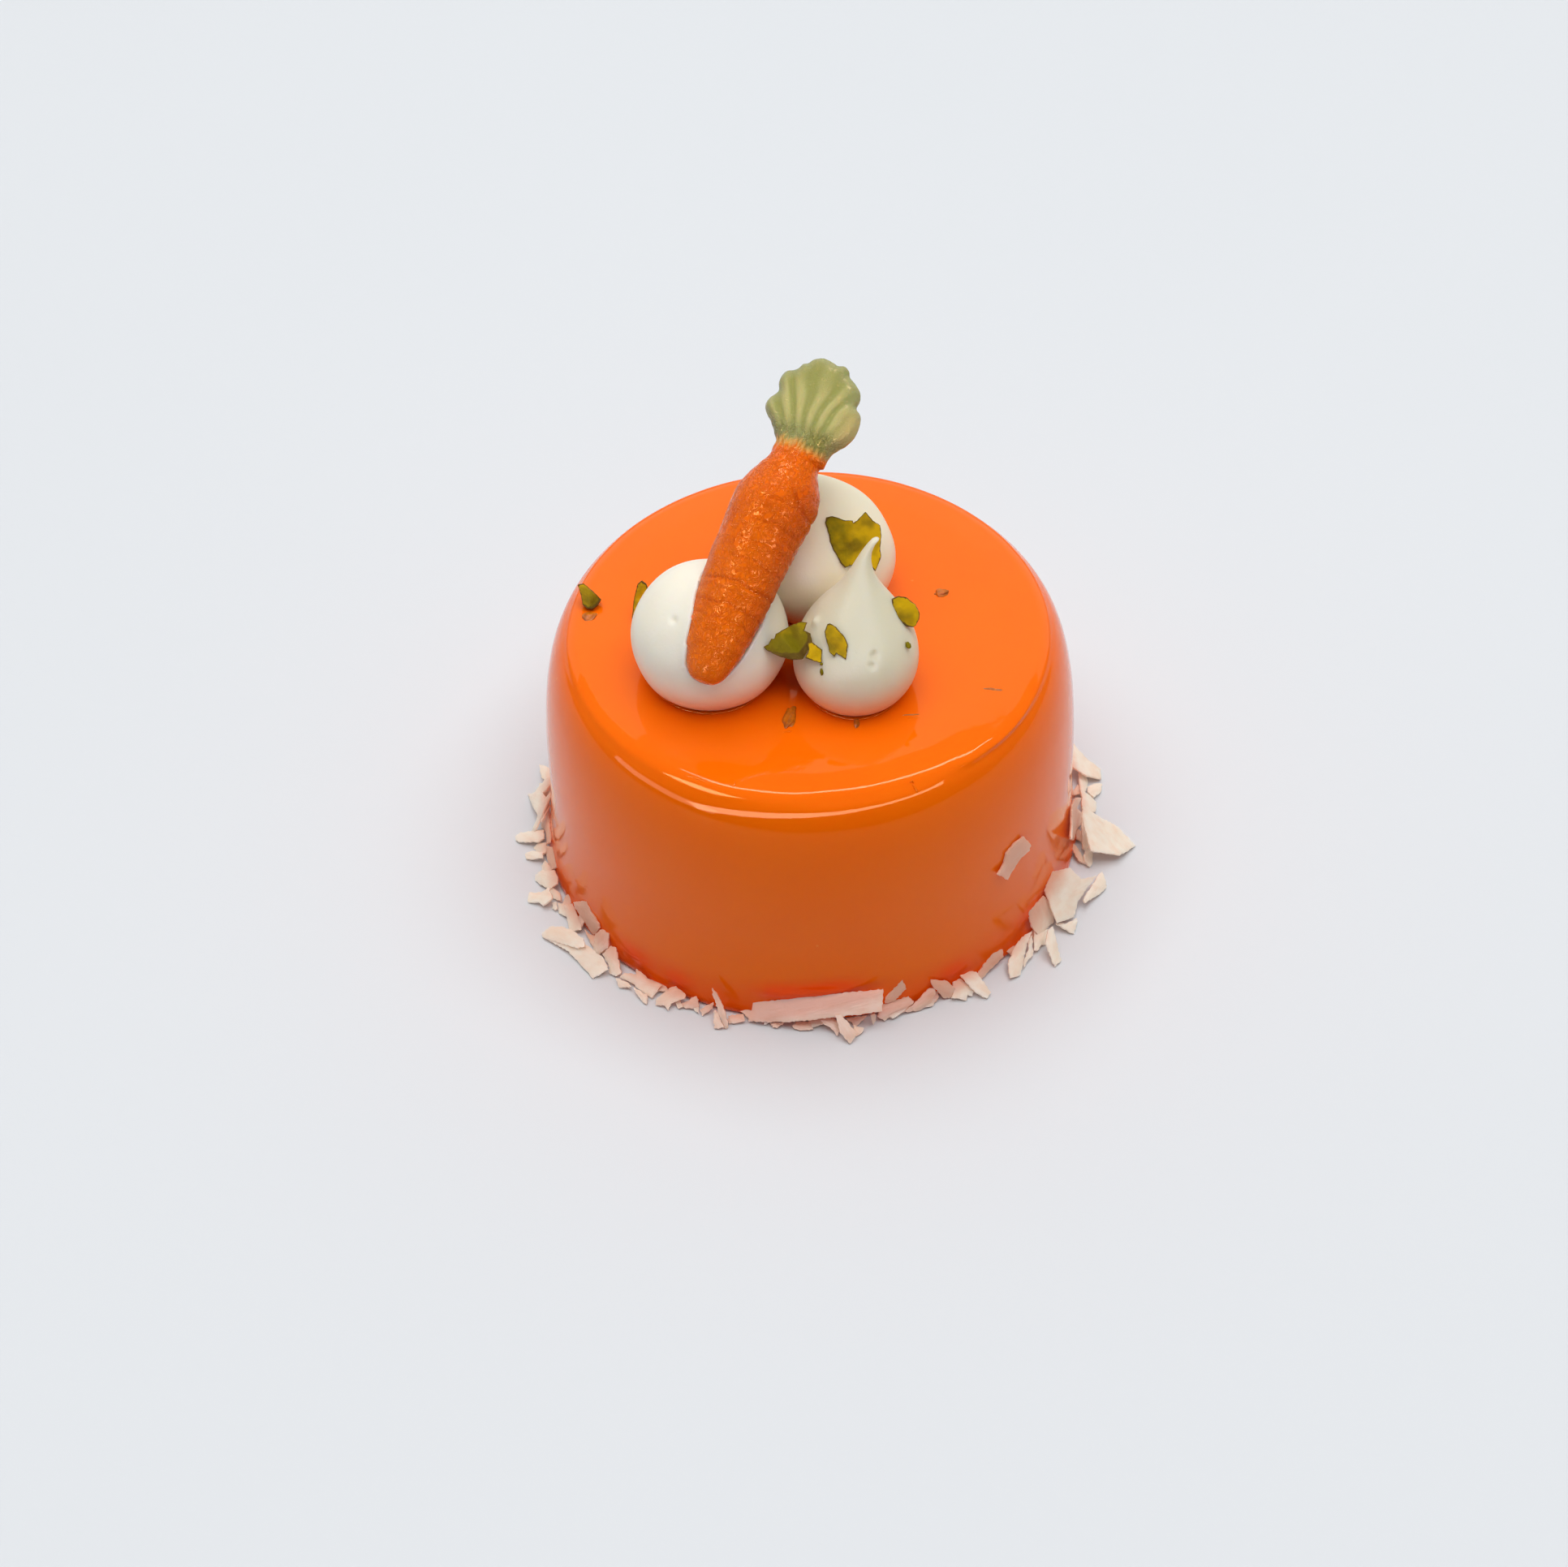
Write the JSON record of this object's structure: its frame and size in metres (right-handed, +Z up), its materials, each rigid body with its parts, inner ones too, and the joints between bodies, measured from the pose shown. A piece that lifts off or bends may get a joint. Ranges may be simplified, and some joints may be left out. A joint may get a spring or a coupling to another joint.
{
  "type": "mini mousse cake",
  "caption": "Round glazed mousse cake with a rounded top edge, coconut flakes around its foot, and cream kisses, a moulded carrot and pistachio pieces on top.",
  "frame": {"origin": "centre of the cake's flat base", "axes": "+Z up, the front of the cake, towards which the carrot's tip points, towards -Y, +X to the right seen from the front"},
  "size_m": [0.0861, 0.0798, 0.0688],
  "materials": {
    "glaze": "mirror-gloss orange glaze",
    "cream": "smooth satin cream",
    "carrot": "wrinkled semi-gloss",
    "pistachio": "matte, broken faces"
  },
  "bodies": {
    "root": {"glazed_mousse": "glaze", "cream_left": "cream", "cream_right": "cream", "cream_back": "cream", "carrot": "carrot", "pistachio_back": "pistachio", "pistachio_middle": "pistachio", "pistachio_sliver": "pistachio", "pistachio_front": "pistachio", "pistachio_right": "pistachio", "pistachio_rim": "pistachio", "pistachio_left": "pistachio"}
  },
  "joints": []
}
